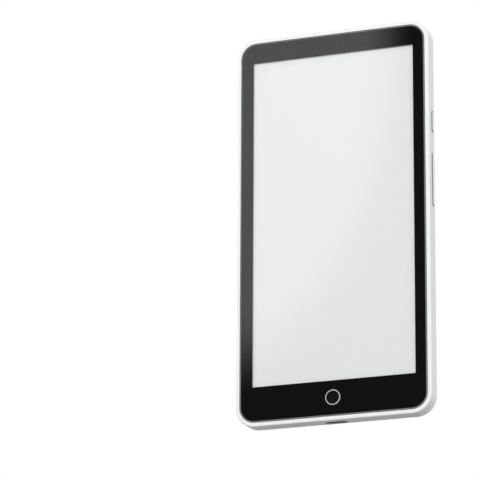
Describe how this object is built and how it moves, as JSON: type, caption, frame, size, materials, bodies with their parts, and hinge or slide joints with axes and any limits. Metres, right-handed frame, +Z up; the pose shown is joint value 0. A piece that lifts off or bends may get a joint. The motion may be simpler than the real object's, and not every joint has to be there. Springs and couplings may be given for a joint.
{
  "type": "e-reader",
  "caption": "Slim pocket e-reader with a tall paper-like screen behind black-bordered glass, a white case, a textured back panel, side keys and a home key.",
  "frame": {"origin": "middle of the bottom edge of the body, on the surface that it stands on", "axes": "+X to the reader's right side seen from the front, where the side keys are; +Y from the screen to the back panel; +Z up along the height"},
  "size_m": [0.0804, 0.0076, 0.159],
  "materials": {
    "clear_glass": "clear, polished, softened edge",
    "black_film": "black ink film behind the glass",
    "tape": "double-sided acrylic foam tape",
    "bright_ring": "fine satin ring",
    "gloss_black": "polished black",
    "steel_sheet": "stamped, tinned sheet",
    "flex_film": "polyimide film over copper",
    "clear_film": "clear film",
    "lamp_white": "resin lamp bodies",
    "ink_film": "matte paper-like grey",
    "backplane_glass": "thin glass with a dark circuit layer",
    "chip_black": "moulded black resin",
    "foam": "closed-cell foam",
    "white_plastic": "white, fine satin",
    "brass": "turned",
    "chassis_metal": "stamped sheet",
    "steel_dark": "blackened steel",
    "panel_plastic": "white with a moulded woven texture",
    "white_keys": "white, satin",
    "pouch_foil": "silver-grey laminated pouch",
    "board_green": "green solder mask",
    "coil_grey": "sintered ferrite",
    "pad_soft": "soft silicone",
    "graphite": "pressed graphite foil",
    "connector_ivory": "moulded ivory resin"
  },
  "bodies": {
    "reader": {"cover_glass": "clear_glass", "border_film": "black_film", "glass_tape": "tape", "home_ring": "bright_ring", "home_dome": "steel_sheet", "home_flex": "flex_film", "touch_sensor": "clear_film", "touch_flex": "flex_film", "front_light_guide": "clear_film", "front_light_leds": "lamp_white", "front_light_flex": "flex_film", "ink_laminate": "ink_film", "display_backplane": "backplane_glass", "display_driver": "chip_black", "display_flex": "flex_film", "display_cushion": "foam", "front_frame": "white_plastic", "threaded_inserts": "brass", "chassis_plate": "chassis_metal", "rear_housing": "white_plastic", "case_screws": "steel_dark", "panel_tape": "tape", "rear_panel": "panel_plastic", "key_domes": "steel_sheet", "side_key_flex": "flex_film", "side_key_bracket": "steel_sheet", "bracket_screws": "steel_dark", "battery_cell": "pouch_foil", "battery_tapes": "tape", "protection_board": "board_green", "battery_lead": "flex_film", "main_board": "board_green", "processor_chip": "chip_black", "memory_chip": "chip_black", "storage_chip": "chip_black", "power_chip": "chip_black", "display_power_chip": "chip_black", "power_coils": "coil_grey", "wireless_module": "steel_sheet", "processor_shield": "steel_sheet", "power_shield": "steel_sheet", "thermal_pad": "pad_soft", "graphite_sheet": "graphite", "board_connectors": "connector_ivory", "board_standoffs": "brass", "board_screws": "steel_dark", "aerial": "flex_film", "sub_board": "board_green", "socket_shell": "steel_sheet", "socket_tongue": "chip_black", "microphone": "steel_sheet", "sub_board_parts": "chip_black", "board_link_flex": "flex_film"},
    "power_key": {"power_button": "white_keys"},
    "volume_key": {"volume_rocker": "white_keys"},
    "home_key": {"home_button": "gloss_black"}
  },
  "joints": [
    {"name": "power_press", "type": "slide", "parent": "reader", "child": "power_key", "axis": [-1, 0, 0], "range_m": [0, 0.00025], "stiffness_N_per_m": 600},
    {"name": "volume_tilt", "type": "hinge", "parent": "reader", "child": "volume_key", "pos_m": [0.03765, 0.0007, 0.0938], "axis": [0, 1, 0], "range_deg": [-1.5, 1.5], "stiffness_Nm_per_rad": 0.06},
    {"name": "home_press", "type": "slide", "parent": "reader", "child": "home_key", "axis": [0, 1, 0], "range_m": [0, 0.00025], "stiffness_N_per_m": 600}
  ]
}
